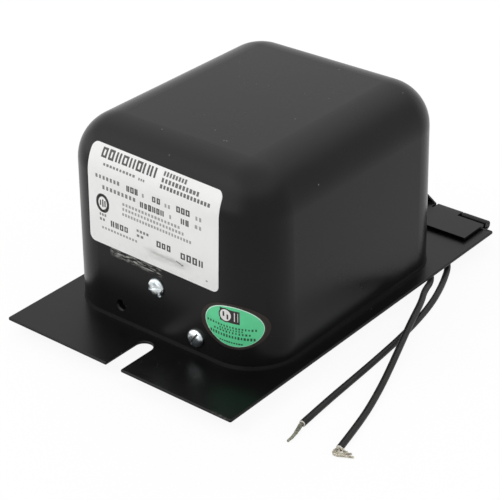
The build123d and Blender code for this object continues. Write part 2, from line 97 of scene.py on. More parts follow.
def vectorSums(tree, operation, first, second, output=0):
    socket = "Scale" if operation == "SCALE" else 1
    node = addNode(tree, "ShaderNodeVectorMath", {0: first, socket: second}, operation=operation)
    return node.outputs[output]


def spanned(tree, value, start, end, low=0.0, high=1.0, curve="LINEAR"):  # start to end becomes low to high
    sizes = {"Value": value, "From Min": start, "From Max": end, "To Min": low, "To Max": high}
    return addNode(tree, "ShaderNodeMapRange", sizes, interpolation_type=curve).outputs["Result"]


def window(tree, value, span, soft):  # 1 within the span, fading over soft at each side, all in millimetres
    low, high, fade = span[0] * mm, span[1] * mm, soft * mm
    rise = spanned(tree, value, low - fade, low)
    return sums(tree, "MULTIPLY", rise, spanned(tree, value, high + fade, high))


def newMaterial(name, settings=None):
    material = bpy.data.materials.new(name)
    material.use_nodes = True
    tree = material.node_tree
    shader = tree.nodes["Principled BSDF"]
    for socket, value in (settings or {}).items():
        shader.inputs[socket].default_value = value
    return material, tree, shader


def objectCoords(tree, scale=(1, 1, 1), rotation=(0, 0, 0), location=(0, 0, 0)):
    coords = addNode(tree, "ShaderNodeTexCoord").outputs["Object"]
    sizes = {"Vector": coords, "Scale": scale, "Rotation": rotation, "Location": location}
    return addNode(tree, "ShaderNodeMapping", sizes).outputs["Vector"]


def axes(tree, vector):
    return addNode(tree, "ShaderNodeSeparateXYZ", {"Vector": vector}).outputs


def noise(tree, vector, scale, detail=3, roughness=0.5):
    sizes = {"Vector": vector, "Scale": scale, "Detail": detail, "Roughness": roughness}
    return addNode(tree, "ShaderNodeTexNoise", sizes).outputs["Fac"]


def rgba(colour):  # one number alone is a grey
    return (*colour, 1) if isinstance(colour, tuple) else (colour, colour, colour, 1)


def ramp(tree, value, first, second, low=0.3, high=0.7):
    node = addNode(tree, "ShaderNodeValToRGB", {"Fac": value})
    for element, place, colour in zip(node.color_ramp.elements, (low, high), (first, second)):
        element.position = place
        element.color = rgba(colour)
    return node.outputs["Color"]


def mixColour(tree, factor, first, second):
    node = addNode(tree, "ShaderNodeMix", {"Factor": factor}, data_type="RGBA")
    sockets = [socket for socket in node.inputs if socket.type == "RGBA"]
    for socket, colour in zip(sockets, (first, second)):
        feed(tree, socket, colour if hasattr(colour, "is_output") else rgba(colour))
    return [socket for socket in node.outputs if socket.type == "RGBA"][0]


def paintWith(tree, shader, colour, roughness):
    link(tree, colour, shader.inputs["Base Color"])
    link(tree, roughness, shader.inputs["Roughness"])


def bump(tree, height, strength, distance, shader, normal=None):
    node = addNode(tree, "ShaderNodeBump", {"Height": height, "Strength": strength, "Distance": distance})
    if normal:
        link(tree, normal, node.inputs["Normal"])
    link(tree, node.outputs["Normal"], shader.inputs["Normal"])
    return node.outputs["Normal"]


def dress(name, material):
    slots = nodes[name].data.materials
    slots.clear()
    slots.append(material)


# Geometry node trees: a tree with named inputs, set by identifier, then turned into a plain mesh
creaseAngle = 34


def newTree(name, sizes):
    tree = bpy.data.node_groups.new(name, "GeometryNodeTree")
    for label, kind in (("Geometry", "Geometry"), *sizes.items()):
        tree.interface.new_socket(label, in_out="INPUT", socket_type="NodeSocket" + kind)
    tree.interface.new_socket("Geometry", in_out="OUTPUT", socket_type="NodeSocketGeometry")
    return tree, addNode(tree, "NodeGroupInput").outputs, addNode(tree, "NodeGroupOutput")


def makePlain(piece):
    ready = piece.evaluated_get(bpy.context.evaluated_depsgraph_get())
    plain = bpy.data.meshes.new_from_object(ready)
    piece.modifiers.clear()
    piece.data = plain


def runTree(piece, tree, values):
    modifier = piece.modifiers.new(tree.name, "NODES")
    modifier.node_group = tree
    for socket in tree.interface.items_tree:
        if socket.item_type == "SOCKET" and socket.in_out == "INPUT" and socket.name in values:
            modifier[socket.identifier] = values[socket.name]
    makePlain(piece)
    piece.data.set_sharp_from_angle(angle=radians(creaseAngle))


def finishTree(tree, geometry, material, outward):
    realize = addNode(tree, "GeometryNodeRealizeInstances", {"Geometry": geometry})
    smooth = addNode(tree, "GeometryNodeSetShadeSmooth", {"Geometry": realize.outputs["Geometry"]})
    paint = addNode(tree, "GeometryNodeSetMaterial", {
        "Geometry": smooth.outputs["Geometry"], "Material": material})
    link(tree, paint.outputs["Geometry"], outward.inputs["Geometry"])


def newPiece(name, mesh, material=None):
    piece = bpy.data.objects.new(name, mesh)
    bpy.context.scene.collection.objects.link(piece)
    if material:
        mesh.materials.append(material)
    return piece


def meshFrom(name, bm, sharp=creaseAngle):
    mesh = bpy.data.meshes.new(name)
    bm.to_mesh(mesh)
    bm.free()
    mesh.shade_smooth()
    mesh.set_sharp_from_angle(angle=radians(sharp))
    return mesh


# The two leads, on the same points as the solids; their lengths are in metres
leads = {
    "diameter": 3.1,
    "routes": {
        "a": [(31.0, 25.375, 19.0), (31.0, 25.375, 9.2), (31.2, 32.4, 2.7), (32.4, 47.0, 1.6),
              (40.5, 59.0, 1.55), (53.4, 59.2, 1.55), (63.4, 48.2, 2.2), (68.3, 33.7, 4.6),
              (74.8, 21.8, 7.1), (80.7, 4.6, 7.1), (87.4, -15.1, 4.6), (94.1, -35.3, 1.8),
              (100.4, -55.0, 1.55), (104.2, -70.0, 1.55), (107.5, -86.0, 1.55)],
        "b": [(26.0, 25.375, 19.0), (26.0, 25.375, 9.2), (26.1, 33.0, 2.5), (26.4, 51.0, 1.55),
              (32.4, 67.6, 1.55), (46.8, 75.4, 1.55), (59.8, 69.1, 1.55), (69.2, 48.1, 1.55),
              (75.5, 27.2, 1.55), (79.5, 1.2, 1.55), (81.3, -21.6, 1.55), (82.5, -42.0, 1.55),
              (83.5, -62.0, 1.55), (85.1, -81.6, 1.55)],
    },
    "lengths": {"a": 0.2149, "b": 0.2367},
    "order": 3, "stepsPerPoint": 10, "roundness": 6,
    "ring": {"radius": 1.42, "length": 0.28, "sunk": 0.3, "bevel": 0.2, "bore": 0.6, "dish": 0.9,
             "sides": 28},
}

# Bare ends: where each bundle of strands runs, and how it is laid
bareEnds = {
    "a": {"paths": [
        [(107.0, -85.4, 1.4), (107.0, -86.9, 1.3), (106.2, -88.6, 0.9), (107.2, -89.9, 0.7),
         (109.8, -89.4, 0.7), (114.9, -86.3, 0.6)],
        [(107.5, -85.5, 1.6), (108.2, -87.0, 1.5), (108.4, -88.2, 1.0), (110.2, -87.8, 0.8),
         (112.9, -85.0, 0.6)],
        [(108.0, -85.4, 1.7), (109.3, -86.2, 1.8), (110.0, -86.6, 1.2), (111.2, -85.4, 0.8)],
        [(107.2, -85.5, 1.5), (107.2, -87.0, 1.3), (106.8, -88.4, 0.8), (108.0, -88.8, 0.6),
         (110.0, -87.6, 0.6)],
        [(107.4, -85.4, 1.2), (107.9, -87.2, 1.1), (108.5, -88.6, 0.8), (111.2, -87.4, 0.6)]],
        "strands": 11, "bundle": 0.8, "strand": 0.13, "twist": 1.1, "taper": 0.6, "fray": 0.3, "seed": 4},
    "b": {"paths": [
        [(85.0, -81.2, 1.5), (85.2, -83.2, 1.45), (86.2, -86.4, 1.15), (87.2, -90.2, 0.95),
         (87.2, -94.2, 0.8)]],
        "strands": 26, "bundle": 1.05, "strand": 0.15, "twist": 5.0, "taper": 0.58, "fray": 0.06,
        "seed": 7},
}
strandForm = {"points": 22, "sides": 7, "seedAngle": 2.4, "stray": (1, 1, 0.3), "strayPower": 2.0}


def leadSheath():
    material, tree, shader = newMaterial("leadSheath", {"IOR": 1.45, "Specular IOR Level": 0.25})
    place = objectCoords(tree)
    tone = ramp(tree, noise(tree, place, 160), (0.008, 0.008, 0.008), (0.014, 0.014, 0.013), 0.3, 0.75)
    paintWith(tree, shader, tone, ramp(tree, noise(tree, place, 90, 2), 0.44, 0.56))
    bump(tree, noise(tree, place, 1500, 2), 0.12, 0.0001, shader)
    return material


def tinnedWire(name, dark, light):
    material, tree, shader = newMaterial(name, {"Metallic": 0.85})
    place = objectCoords(tree)
    tone = ramp(tree, noise(tree, place, 520), dark, light, 0.32)
    paintWith(tree, shader, tone, ramp(tree, noise(tree, place, 300, 2), 0.36, 0.52))
    bump(tree, noise(tree, place, 2400, 2), 0.15, 0.00004, shader)
    return material


def paleInsulation():
    material, tree, shader = newMaterial("paleInsulation", {"Roughness": 0.6})
    place = objectCoords(tree)
    tone = ramp(tree, noise(tree, place, 900), (0.60, 0.57, 0.50), (0.78, 0.76, 0.70))
    link(tree, tone, shader.inputs["Base Color"])
    bump(tree, noise(tree, place, 1600, 2), 0.2, 0.00006, shader)
    return material


def strandTree():
    tree, wish, outward = newTree("strandBundle", {
        "Strands": "Int", "Bundle Radius": "Float", "Strand Radius": "Float", "Twist": "Float",
        "Taper": "Float", "Fray": "Float", "Seed": "Int", "Finish": "Material"})
    line = addNode(tree, "GeometryNodeMeshToCurve", {"Mesh": wish["Geometry"]})
    bent = addNode(tree, "GeometryNodeCurveSplineType", {"Curve": line.outputs["Curve"]},
                   spline_type="NURBS")
    fine = addNode(tree, "GeometryNodeResampleCurve", {
        "Curve": bent.outputs["Curve"], "Count": strandForm["points"]})
    many = addNode(tree, "GeometryNodeDuplicateElements", {
        "Geometry": fine.outputs["Curve"], "Amount": wish["Strands"]}, domain="SPLINE")
    along = addNode(tree, "GeometryNodeSplineParameter").outputs["Factor"]
    index = many.outputs["Duplicate Index"]
    # the strands fill the bundle's round section like the seeds of a flower, and turn as they run
    share = sums(tree, "SQRT", sums(tree, "DIVIDE", sums(tree, "ADD", index, 0.5), wish["Strands"]))
    start = sums(tree, "MULTIPLY", index, strandForm["seedAngle"])
    angle = sums(tree, "ADD", start, sums(tree, "MULTIPLY", along, wish["Twist"]))
    shrink = sums(tree, "SUBTRACT", 1.0, sums(tree, "MULTIPLY", along, wish["Taper"]))
    reach = sums(tree, "MULTIPLY", share, shrink, wish["Bundle Radius"])
    normal = addNode(tree, "GeometryNodeInputNormal").outputs["Normal"]
    tangent = addNode(tree, "GeometryNodeInputTangent").outputs["Tangent"]
    across = vectorSums(tree, "CROSS_PRODUCT", tangent, normal)
    first = vectorSums(tree, "SCALE", normal, sums(tree, "MULTIPLY", sums(tree, "COSINE", angle), reach))
    second = vectorSums(tree, "SCALE", across, sums(tree, "MULTIPLY", sums(tree, "SINE", angle), reach))
    chance = addNode(tree, "FunctionNodeRandomValue", {
        "Min": tuple(-side for side in strandForm["stray"]), "Max": strandForm["stray"],
        "ID": index, "Seed": wish["Seed"]}, data_type="FLOAT_VECTOR")
    loosen = sums(tree, "MULTIPLY", sums(tree, "POWER", along, strandForm["strayPower"]), wish["Fray"])
    stray = vectorSums(tree, "SCALE", chance.outputs["Value"], loosen)
    move = addNode(tree, "GeometryNodeSetPosition", {
        "Geometry": many.outputs["Geometry"],
        "Offset": vectorSums(tree, "ADD", vectorSums(tree, "ADD", first, second), stray)})
    section = addNode(tree, "GeometryNodeCurvePrimitiveCircle", {
        "Resolution": strandForm["sides"], "Radius": wish["Strand Radius"]})
    tube = addNode(tree, "GeometryNodeCurveToMesh", {
        "Curve": move.outputs["Geometry"], "Profile Curve": section.outputs["Curve"], "Fill Caps": True})
    finishTree(tree, tube.outputs["Mesh"], wish["Finish"], outward)
    return tree


def makeBareEnd(which, tree, finish):
    end = bareEnds[which]
    mesh = bpy.data.meshes.new("strands" + which.upper())
    places, edges = [], []
    for path in end["paths"]:
        edges += [(len(places) + i, len(places) + i + 1) for i in range(len(path) - 1)]
        places += [Vector(p) * mm for p in path]
    mesh.from_pydata(places, edges, [])
    piece = newPiece("strands" + which.upper(), mesh)
    runTree(piece, tree, {
        "Strands": end["strands"], "Bundle Radius": end["bundle"] * mm, "Strand Radius": end["strand"] * mm,
        "Twist": end["twist"], "Taper": end["taper"], "Fray": end["fray"] * mm, "Seed": end["seed"],
        "Finish": finish})
    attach(piece, "base")
    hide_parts("lead_" + which + "_strands")
    return piece


def makeCutRing(which, finish):  # the pale cut end of the insulation, around the strands
    end, before = (Vector(leads["routes"][which][i]) for i in (-1, -2))
    turn = (end - before).to_track_quat("Z", "Y").to_matrix().to_4x4()
    ring = leads["ring"]
    radius, length, bevel = ring["radius"], ring["length"], ring["bevel"]
    outline = [(radius, -ring["sunk"]), (radius, length - bevel), (radius - bevel, length),
               (ring["bore"], length * ring["dish"])]
    bm = bmesh.new()
    foot, top = (bm.verts.new((0, 0, outline[i][1])) for i in (0, -1))
    slices = []
    for step in range(ring["sides"]):
        angle = 2 * pi * step / ring["sides"]
        slices.append([bm.verts.new((x * cos(angle), x * sin(angle), z)) for x, z in outline])
    for a, b in zip(slices, slices[1:] + slices[:1]):
        bm.faces.new((foot, b[0], a[0]))
        for i in range(len(outline) - 1):
            bm.faces.new((a[i], b[i], b[i + 1], a[i + 1]))
        bm.faces.new((a[-1], b[-1], top))
    bmesh.ops.transform(bm, matrix=Matrix.Scale(mm, 4) @ Matrix.Translation(end) @ turn, verts=bm.verts)
    piece = newPiece("cutRing" + which.upper(), meshFrom("cutRing", bm), finish)
    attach(piece, "base")
    return piece


def makeLead(which, material, parts):
    points = leads["routes"][which]
    curve = bpy.data.curves.new("lead" + which.upper(), "CURVE")
    curve.dimensions = "3D"
    spline = curve.splines.new("NURBS")
    spline.points.add(len(points) - 1)
    for point, place in zip(spline.points, points):
        point.co = (*(Vector(place) * mm), 1)
    spline.order_u = leads["order"]
    spline.use_endpoint_u = True
    spline.resolution_u = leads["stepsPerPoint"]
    curve.bevel_depth = leads["diameter"] / 2 * mm
    curve.bevel_resolution = leads["roundness"]
    curve.use_fill_caps = True
    curve.materials.append(material)
    lead = bpy.data.objects.new("lead" + which.upper(), curve)
    bpy.context.scene.collection.objects.link(lead)
    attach(lead, "base")
    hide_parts("lead_" + which)


sheath, insulation, bundleTree = leadSheath(), paleInsulation(), strandTree()
tinned = {"a": tinnedWire("tinnedWire", (0.27, 0.25, 0.20), (0.60, 0.57, 0.48)),
          "b": tinnedWire("tinnedWireDull", (0.11, 0.11, 0.085), (0.30, 0.295, 0.24))}
for which in ("a", "b"):
    makeLead(which, sheath, [makeBareEnd(which, bundleTree, tinned[which]), makeCutRing(which, insulation)])
print("leads done")


# Finishes
enamel = {
    "case": {
        "gloss": 0.27, "level": 0.155, "dust": 0.075, "shift": (0, 0, 0), "dark": 0.0050, "light": 0.0068,
        "scuffs": [{"x": (-26, 2), "y": (-80, -70), "z": (40.4, 42.2), "slope": -0.035, "soft": 1.5,
                    "stretch": (230, 230, 1250), "lean": 0.32, "cut": 0.47, "strength": 0.92,
                    "tone": (0.36, 0.36, 0.34)}],
        "flecks": [(18.6, -47.5, 99.1, 0.34), (17.4, -47.9, 99.1, 0.3), (7.8, -42.3, 99.1, 0.25),
                   (-20.0, 8.0, 99.1, 0.2)]},
    "plate": {
        "gloss": 0.30, "level": 0.17, "dust": 0.06, "shift": (0.31, 0.17, 0.05), "dark": 0.0028,
        "light": 0.0042,
        "scuffs": [{"x": (56, 64.5), "y": (-106, -104.2), "z": (5.8, 8), "slope": 0.0, "soft": 1.0,
                    "stretch": (500, 500, 900), "lean": 0.0, "cut": 0.52, "strength": 0.5,
                    "tone": (0.12, 0.12, 0.11)},
                   {"x": (4, 24), "y": (-100, -86), "z": (7, 8), "slope": 0.0, "soft": 4,
                    "stretch": (760, 760, 760), "lean": 0.0, "cut": 0.6, "strength": 0.3,
                    "tone": (0.08, 0.08, 0.08)}],
        "flecks": []},
}
wear = {"dustTone": (0.22, 0.22, 0.21), "scuffGloss": 0.62, "scuffFade": 0.13,
        "fleckTone": (0.30, 0.30, 0.28), "fleckCore": 0.4}


def scuffMask(tree, where, scuff):
    height = sums(tree, "SUBTRACT", where["Z"], sums(tree, "MULTIPLY", where["X"], scuff["slope"]))
    sides = ((where["X"], scuff["x"]), (height, scuff["z"]), (where["Y"], scuff["y"]))
    inside = [window(tree, value, span, scuff["soft"]) for value, span in sides]
    streaks = objectCoords(tree, scale=scuff["stretch"], rotation=(0, scuff["lean"], 0))
    rub = noise(tree, streaks, 1, 5, 0.68)
    worn = ramp(tree, rub, 0, 1, scuff["cut"], scuff["cut"] + wear["scuffFade"])
    return sums(tree, "MULTIPLY", *inside, worn)


def blackEnamel(name, paint):  # a faint peel, cloudy gloss, a little dust, scuffs and chipped flecks
    material, tree, shader = newMaterial(name, {"IOR": 1.5, "Specular IOR Level": paint["level"]})
    place = objectCoords(tree, location=paint["shift"])
    cloud = noise(tree, place, 22, 4, 0.55)
    specks = addNode(tree, "ShaderNodeTexVoronoi", {"Vector": place, "Scale": 170})
    dot = ramp(tree, specks.outputs["Distance"], 1, 0, 0.0, paint["dust"])
    rare = ramp(tree, noise(tree, place, 310, 0), 0, 1, 0.62, 0.66)
    body = ramp(tree, cloud, paint["dark"], paint["light"], 0.3, 0.75)
    tone = mixColour(tree, sums(tree, "MULTIPLY", dot, rare), body, wear["dustTone"])
    rough = ramp(tree, cloud, paint["gloss"] - 0.04, paint["gloss"] + 0.06, 0.25, 0.8)
    coords = objectCoords(tree)
    where = axes(tree, coords)
    for scuff in paint["scuffs"]:
        mask = scuffMask(tree, where, scuff)
        tone = mixColour(tree, sums(tree, "MULTIPLY", mask, scuff["strength"]), tone, scuff["tone"])
        rough = mixColour(tree, mask, rough, wear["scuffGloss"])
    for x, y, z, radius in paint["flecks"]:
        away = vectorSums(tree, "DISTANCE", coords, Vector((x, y, z)) * mm, "Value")
        near = spanned(tree, away, radius * mm, radius * wear["fleckCore"] * mm)
        tone = mixColour(tree, near, tone, wear["fleckTone"])
    paintWith(tree, shader, tone, rough)
    under = bump(tree, noise(tree, place, 900, 2), 0.10, 0.00012, shader)
    bump(tree, noise(tree, place, 2600, 1), 0.05, 0.00005, shader, under)
    return material


def plainMetal(name, colour, darker, roughness, scratchScale):
    material, tree, shader = newMaterial(name, {"Metallic": 1})
    cloud = ramp(tree, noise(tree, objectCoords(tree), 240, 4), 0, 1, 0.35)
    streak = noise(tree, objectCoords(tree, scale=(scratchScale, scratchScale * 0.08, scratchScale)), 1)
    paintWith(tree, shader, mixColour(tree, cloud, colour, darker),
              ramp(tree, streak, roughness - 0.06, roughness + 0.1))
    bump(tree, streak, 0.12, 0.00005, shader)
    return material


def dullSolid(name, first, second, scale, roughness, depth):  # compound, paper or rubber
    material, tree, shader = newMaterial(name)
    place = objectCoords(tree)
    grain = noise(tree, place, scale, 5, 0.6)
    wide = noise(tree, place, scale * 0.3, 2)
    paintWith(tree, shader, ramp(tree, grain, first, second),
              ramp(tree, wide, roughness - 0.08, roughness + 0.08))
    bump(tree, grain, 0.35, depth, shader)
    return material


def porcelain():
    material, tree, shader = newMaterial("porcelainGlaze", {"Coat Weight": 0.8, "Coat Roughness": 0.06})
    place = objectCoords(tree)
    tone = ramp(tree, noise(tree, place, 130), (0.72, 0.70, 0.64), (0.80, 0.79, 0.74), 0.35)
    paintWith(tree, shader, tone, ramp(tree, noise(tree, place, 60, 2), 0.16, 0.28))
    bump(tree, noise(tree, place, 420, 2), 0.08, 0.0001, shader)
    return material


def stacked(name, first, second, pitch):  # edges of laminations or layers of wire
    material, tree, shader = newMaterial(name, {"Metallic": 0.7})
    place = objectCoords(tree)
    wave = addNode(tree, "ShaderNodeTexWave", {
        "Vector": place, "Scale": 1 / (pitch * 20), "Distortion": 0.6}, bands_direction="Z")
    paintWith(tree, shader, ramp(tree, wave.outputs["Fac"], first, second, 0.2, 0.8),
              ramp(tree, noise(tree, place, 90), 0.38, 0.55))
    bump(tree, wave.outputs["Fac"], 0.4, 0.0002, shader)
    return material


# Places on the drawn case, worked out as its form is: drafted walls, a round shoulder and round uprights
caseForm = {"width": 117.2, "depth": 141.4, "height": 91.6, "draft": 0.8, "shoulder": 21.5,
            "uprightExtra": 0.9, "centre": -4.625, "foot": 7.5}  # draft in degrees, the rest in mm
search = {"reach": 60.0, "halvings": 26, "probe": 0.02}
patchStep = 0.9  # longest side of a face where print follows the case
printBar = {"thick": 0.27, "crossShare": 0.8, "overlap": 0.05}
discEnd = 88  # degrees from the middle where an oval patch stops
lean = tan(radians(caseForm["draft"]))
uprightRadius = caseForm["shoulder"] + caseForm["uprightExtra"] + caseForm["height"] * lean
caseFront = caseForm["centre"] - caseForm["depth"] / 2


def wallInset(height):
    bend = caseForm["shoulder"]
    bendFoot = caseForm["height"] - bend
    centre = bendFoot * lean + bend / cos(radians(caseForm["draft"]))
    if height < bendFoot + bend * sin(radians(caseForm["draft"])):
        return height * lean
    over = min(height - bendFoot, bend)
    return centre - sqrt(bend ** 2 - over ** 2)


def outsideBy(place):
    inset = wallInset(max(place.z - caseForm["foot"], 0))
    across, along = caseForm["width"] / 2 - inset, caseForm["depth"] / 2 - inset
    corner = uprightRadius - inset
    dx, dy = abs(place.x) - (across - corner), abs(place.y - caseForm["centre"]) - (along - corner)
    return hypot(dx, dy) - corner if dx > 0 and dy > 0 else max(dx, dy) - corner


def meetCase(origin, heading):  # where a line from outside meets the case, and which way it faces there
    near, far = 0.0, search["reach"]
    for _ in range(search["halvings"]):
        middle = (near + far) / 2
        if outsideBy(origin + heading * middle) > 0:
            near = middle
        else:
            far = middle
    place = origin + heading * near
    steps = [Vector(axis) * search["probe"] for axis in ((1, 0, 0), (0, 1, 0), (0, 0, 1))]
    return place, Vector([outsideBy(place + step) - outsideBy(place - step) for step in steps]).normalized()


def skin(bm, rows, columns, spot, low, high, slot=0):  # a thin closed patch that follows the case
    layers = []
    for lift in (high, low):
        layer = []
        for v, left, right in rows:
            line = []
            for step in range(columns + 1):
                place, out = spot(left + (right - left) * step / columns, v)
                line.append(bm.verts.new((place + out * lift) * mm))
            layer.append(line)
        layers.append(layer)
    upper, lower = layers
    faces = []
    for j in range(len(rows) - 1):
        for i in range(columns):
            faces.append((upper[j][i], upper[j][i + 1], upper[j + 1][i + 1], upper[j + 1][i]))
            faces.append((lower[j][i], lower[j + 1][i], lower[j + 1][i + 1], lower[j][i + 1]))
        faces.append((upper[j][0], upper[j + 1][0], lower[j + 1][0], lower[j][0]))
        faces.append((upper[j][-1], lower[j][-1], lower[j + 1][-1], upper[j + 1][-1]))
    for i in range(columns):
        faces.append((upper[0][i], lower[0][i], lower[0][i + 1], upper[0][i + 1]))
        faces.append((upper[-1][i], upper[-1][i + 1], lower[-1][i + 1], lower[-1][i]))
    for corners in faces:
        bm.faces.new(corners).material_index = slot


def block(bm, u, v, width, height, spot, low, high, slot=0, tilt=0.0):  # one small printed block
    count = max(1, ceil(height / patchStep))
    rows = [(v - height / 2 + height * j / count, u - width / 2, u + width / 2) for j in range(count + 1)]
    turned = lambda a, b: spot(a, b + (a - u) * tilt)
    skin(bm, rows, max(1, ceil(width / patchStep)), turned, low, high, slot)


def printMark(bm, u, v, width, height, kind, spot, low, high, slot):  # an open box, two bars or a block
    if kind == "block":
        block(bm, u, v, width, height, spot, low, high, slot)
        return
    bar = printBar["thick"] * height
    cross = bar * printBar["crossShare"]
    for side in (-1, 1):
        block(bm, u + side * (width - bar) / 2, v, bar, height, spot, low, high, slot)
        if kind == "box":
            edge = v + side * (height - cross) / 2
            block(bm, u, edge, width - 2 * bar + printBar["overlap"], cross, spot, low, high, slot)


def disc(bm, u, v, across, tall, spot, low, high, slot=0, columns=10, steps=12):  # one round or oval patch
    rows = []
    for step in range(steps + 1):
        angle = radians(-discEnd + 2 * discEnd * step / steps)
        rows.append((v + tall / 2 * sin(angle), u - across / 2 * cos(angle), u + across / 2 * cos(angle)))
    skin(bm, rows, columns, spot, low, high, slot)


# Finishes of the carried-over nodes
caseEnamel = blackEnamel("caseEnamel", enamel["case"])
plateEnamel = blackEnamel("plateEnamel", enamel["plate"])
zincPlate = plainMetal("zincPlate", (0.80, 0.82, 0.84), (0.52, 0.55, 0.58), 0.24, 900)
nutSteel = plainMetal("nutSteel", (0.10, 0.10, 0.10), (0.05, 0.05, 0.05), 0.5, 900)
copper = plainMetal("bareCopper", (0.80, 0.42, 0.26), (0.50, 0.25, 0.14), 0.3, 1200)
brass = plainMetal("brassRod", (0.84, 0.66, 0.33), (0.60, 0.44, 0.20), 0.26, 1000)
coreSteel = stacked("coreSteel", (0.16, 0.16, 0.17), (0.34, 0.34, 0.36), 0.0005)
windingWire = stacked("windingWire", (0.24, 0.09, 0.035), (0.46, 0.20, 0.08), 0.0004)
kraftPaper = dullSolid("kraftPaper", (0.36, 0.25, 0.14), (0.48, 0.35, 0.21), 500, 0.8, 0.0001)
asphalt = dullSolid("asphaltCompound", (0.008, 0.008, 0.008), (0.022, 0.021, 0.020), 160, 0.42, 0.0012)
sleeveRubber = dullSolid("sleeveRubber", (0.012, 0.012, 0.012), (0.024, 0.024, 0.023), 700, 0.6, 0.0001)
finishes = [  # how a node's name starts and ends, and its finish; the first that fits counts
    ("case_shell", "", caseEnamel), ("case_bracket", "", caseEnamel), ("case_nuts", "", nutSteel),
    ("hinge_pin", "", plateEnamel), ("core_bolts", "", zincPlate), ("core_nuts", "", zincPlate),
    ("core_", "", coreSteel), ("magnetic_", "", coreSteel), ("", "_coil", windingWire),
    ("", "_form", kraftPaper), ("potting_", "", asphalt), ("ground_strap", "", copper),
    ("secondary_lead", "", copper), ("terminal_", "", brass), ("bushing", "", porcelain()),
    ("lead_sleeve", "", sleeveRubber)]
for nodeName in nodes:
    for start, end, finish in finishes:
        if nodeName.startswith(start) and nodeName.endswith(end):
            dress(nodeName, finish)
            break
print("finishes done")


# Sheet pieces: the solids' own shape with the pressed edges rounded
sheets = {"radii": {"base_plate": 0.55, "hinge_fixed_leaf": 0.22, "hinge_free_leaf": 0.28},
          "segments": 3, "edgeAngle": 50, "flatAngle": 0.6}


def roundedSheet(nodeName, radius):
    bm = bmesh.new()
    bm.from_mesh(nodes[nodeName].data)
    bmesh.ops.remove_doubles(bm, verts=bm.verts, dist=1e-6)
    bmesh.ops.dissolve_limit(bm, angle_limit=radians(sheets["flatAngle"]), verts=bm.verts, edges=bm.edges)
    mesh = bpy.data.meshes.new(nodeName + "Rounded")
    bm.verts.index_update()
    mesh.from_pydata([v.co.copy() for v in bm.verts], [], [[v.index for v in f.verts] for f in bm.faces])
    bm.free()
    mesh.shade_smooth()
    piece = newPiece(nodeName + "Rounded", mesh, plateEnamel)
    edge = piece.modifiers.new("pressedEdge", "BEVEL")
    edge.width = radius * mm
    edge.segments = sheets["segments"]
    edge.limit_method = "ANGLE"
    edge.angle_limit = radians(sheets["edgeAngle"])
    edge.harden_normals = True
    makePlain(piece)
    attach(piece, "hinge_leaf" if nodeName == "hinge_free_leaf" else "base")
    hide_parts(nodeName)


for nodeName, radius in sheets["radii"].items():
    roundedSheet(nodeName, radius)
print("sheet pieces done")


# Screws in the case walls, domed and slotted; the lower left hole in front is empty
screws = {"headDiameter": 8.8, "headHeight": 2.2, "slotWidth": 1.0, "slotDepth": 0.75, "shankDiameter": 4.1,
          "shankLength": 10.0, "lowHeight": 8.4, "highHeight": 26.0,
          "headSides": 48, "headRings": 40, "shankSides": 32,
          "slotTurns": {"front": {0: -70, 22.2: -31}, "back": {-22.2: 12, 22.2: 75, 0: -40}}}
burr = {"radius": 0.75, "uneven": 0.18, "shift": (1.1, -1.0, -2.65), "turn": 0.5,
        "stretch": (2.7, 1.1, 1.7, 1)}


def lifted(tree, geometry, height):
    move = addNode(tree, "ShaderNodeCombineXYZ", {"Z": height}).outputs["Vector"]
    node = addNode(tree, "GeometryNodeTransform", {"Geometry": geometry, "Translation": move})
    return node.outputs["Geometry"]


